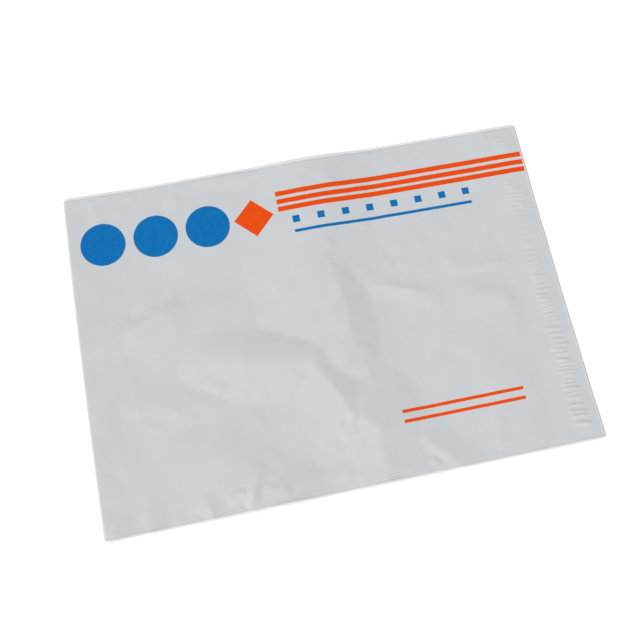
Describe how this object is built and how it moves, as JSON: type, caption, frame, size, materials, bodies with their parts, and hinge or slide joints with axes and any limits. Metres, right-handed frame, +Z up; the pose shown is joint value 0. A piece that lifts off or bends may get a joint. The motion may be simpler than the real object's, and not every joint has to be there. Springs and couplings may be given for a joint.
{
  "type": "poly mailer bag",
  "caption": "Flat, empty plastic film mailing bag with a folded bottom, welded long sides, an open mouth and a flap with a covered adhesive strip underneath.",
  "frame": {"origin": "centre of the bag's outline on the surface that it lies on", "axes": "+X along the bag from the folded bottom to the lip of the flap, +Y across the bag towards its upper welded side as the print reads, +Z up from the surface through the printed face"},
  "size_m": [0.355, 0.25, 0.0055],
  "materials": {
    "film": "pale grey polyethylene film, semi-gloss, printed in orange and blue",
    "hot_melt": "clear to straw-coloured hot-melt adhesive, glossy",
    "liner": "white siliconised release film, satin"
  },
  "bodies": {
    "root": {"film_bag": "film", "adhesive_strip": "hot_melt", "release_liner": "liner"}
  },
  "joints": []
}
